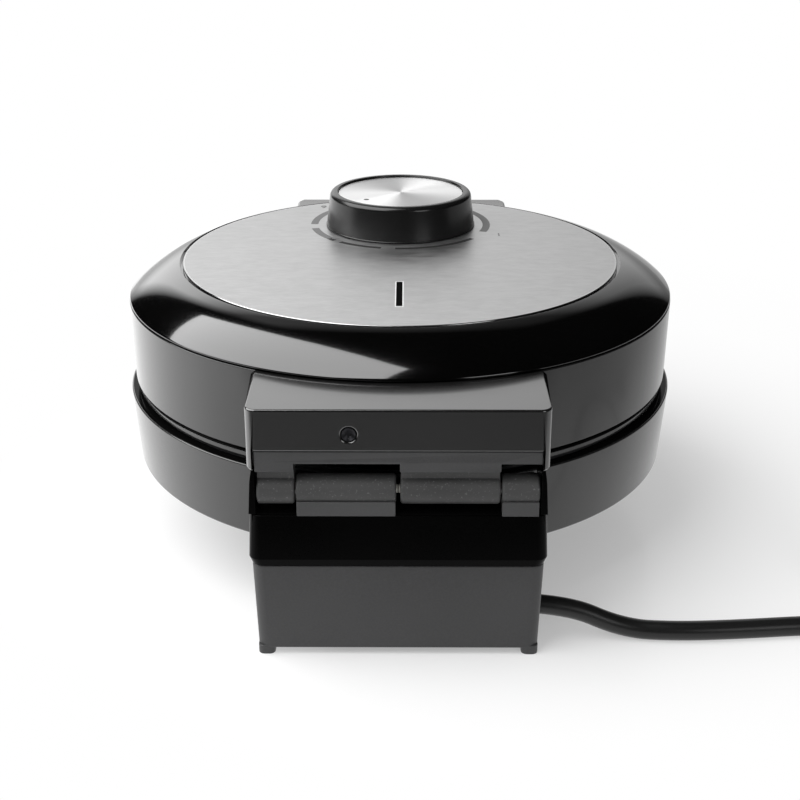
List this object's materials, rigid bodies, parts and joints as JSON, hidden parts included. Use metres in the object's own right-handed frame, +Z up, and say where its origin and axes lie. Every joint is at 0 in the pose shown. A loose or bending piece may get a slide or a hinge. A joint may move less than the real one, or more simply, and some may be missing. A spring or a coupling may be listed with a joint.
{
  "type": "heart waffle maker",
  "caption": "Round table-top waffle maker with a hinged lid, heart-shaped waffle plates, a browning knob and a mains cord.",
  "frame": {"origin": "on the surface it stands on, under the axis of the round body", "axes": "+Z up; +Y towards the hinge at the rear; the handle is at -Y; the cord leaves towards -X"},
  "size_m": [0.3813, 0.2658, 0.1226],
  "materials": {
    "black_satin_plastic": "satin, fine grain",
    "black_gloss_plastic": "polished",
    "knob_plastic": "smooth satin",
    "plate_coating": "dark non-stick coating on cast aluminium",
    "brushed_steel": "brushed in straight lines",
    "spun_aluminium": "turned, fine circular lines",
    "bright_steel": "zinc plated",
    "element_tube": "dull, heat tinted",
    "blackened_steel": "blackened",
    "pad_rubber": "matt",
    "white_nylon": "plain",
    "lead_sleeve": "braided glass sleeve",
    "core_insulation": "smooth",
    "cord_rubber": "smooth, slightly satin",
    "tie_plastic": "smooth",
    "plated_brass": "nickel plated",
    "brown_phenolic": "moulded",
    "lens_dark": "dark transparent",
    "board_laminate": "laminate",
    "lamp_glass": "clear"
  },
  "bodies": {
    "base": {"base_shell": "black_satin_plastic", "rear_stand": "black_satin_plastic", "base_hinge_frame": "black_satin_plastic", "hinge_pins": "bright_steel", "lower_plate": "plate_coating", "lower_element": "element_tube", "lower_reflector": "bright_steel", "lower_plate_screws": "bright_steel", "front_legs": "black_satin_plastic", "front_pads": "pad_rubber", "stand_screws": "bright_steel", "terminal_block": "white_nylon", "cord_clamp": "black_satin_plastic", "clamp_screws": "bright_steel", "supply_cores": "core_insulation", "base_lead": "lead_sleeve", "element_leads": "lead_sleeve", "power_cord": "cord_rubber", "cord_coil": "cord_rubber", "coil_tie": "tie_plastic", "plug_body": "cord_rubber", "plug_pins": "plated_brass"},
    "lid": {"lid_body": "black_gloss_plastic", "lid_crown": "black_gloss_plastic", "top_plate": "brushed_steel", "lid_hinge_frame": "black_satin_plastic", "block_screw": "blackened_steel", "lid_handle": "black_gloss_plastic", "handle_screws": "bright_steel", "upper_plate": "plate_coating", "upper_element": "element_tube", "upper_reflector": "bright_steel", "upper_plate_screws": "bright_steel", "thermostat": "brown_phenolic", "thermal_fuse": "bright_steel", "lid_lead": "lead_sleeve", "lamp_lens": "lens_dark", "lamp_board": "board_laminate", "pilot_lamps": "lamp_glass"},
    "knob": {"knob": "knob_plastic", "knob_disc": "spun_aluminium", "thermostat_shaft": "bright_steel"}
  },
  "joints": [
    {"name": "lid_hinge", "type": "hinge", "parent": "base", "child": "lid", "pos_m": [0, 0.127, 0.063], "axis": [-1, 0, 0], "range_deg": [0, 105]},
    {"name": "knob_turn", "type": "hinge", "parent": "lid", "child": "knob", "pos_m": [0, -0.0455, 0.11], "axis": [0, 0, 1], "range_deg": [-70, 125]}
  ]
}
